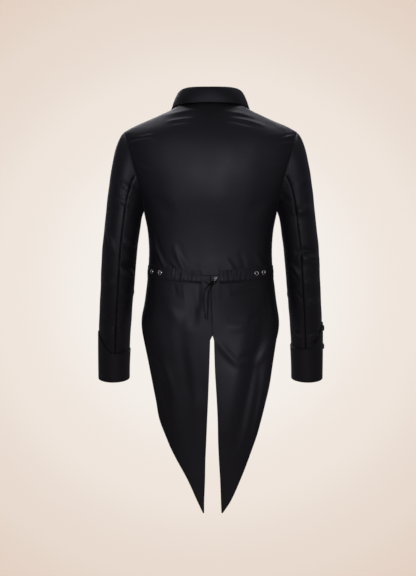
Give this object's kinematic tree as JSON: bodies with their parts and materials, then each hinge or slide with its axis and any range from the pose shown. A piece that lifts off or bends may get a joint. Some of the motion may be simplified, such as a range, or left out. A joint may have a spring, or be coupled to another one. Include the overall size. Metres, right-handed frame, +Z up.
{
  "type": "tailcoat filled out as worn",
  "caption": "Black tailcoat, hollow as worn: turned-down collar, peaked lapels, banded cuffs, long pointed tails, gathered back waist tied with a thin cord.",
  "frame": {"origin": "centre of the neck opening, at the height where the shoulder seams meet the neck", "axes": "+Z up the coat, -Y the wearer's front, +X the wearer's left"},
  "size_m": [0.5783, 0.2424, 1.0609],
  "materials": {
    "coat_cloth": "black closely woven suiting with a soft satin sheen",
    "tie_cord": "thin black braided cord",
    "eyelet_metal": "pressed, nickel plated",
    "cuff_button": "moulded and polished black"
  },
  "bodies": {
    "root": {"back": "coat_cloth", "collar": "coat_cloth", "front_left": "coat_cloth", "front_right": "coat_cloth", "lapel_left": "coat_cloth", "lapel_right": "coat_cloth", "top_sleeve_left": "coat_cloth", "top_sleeve_right": "coat_cloth", "under_sleeve_left": "coat_cloth", "under_sleeve_right": "coat_cloth", "cuff_left": "coat_cloth", "cuff_right": "coat_cloth", "tail_left": "coat_cloth", "tail_right": "coat_cloth", "belt_left": "coat_cloth", "belt_right": "coat_cloth", "tie_cord": "tie_cord", "tie_knot": "tie_cord", "tie_end_left": "tie_cord", "tie_end_right": "tie_cord", "eyelet_1": "eyelet_metal", "eyelet_2": "eyelet_metal", "eyelet_3": "eyelet_metal", "eyelet_4": "eyelet_metal", "eyelet_centre": "eyelet_metal", "button_left_1": "cuff_button", "button_left_2": "cuff_button", "button_right_1": "cuff_button", "button_right_2": "cuff_button"}
  },
  "joints": []
}
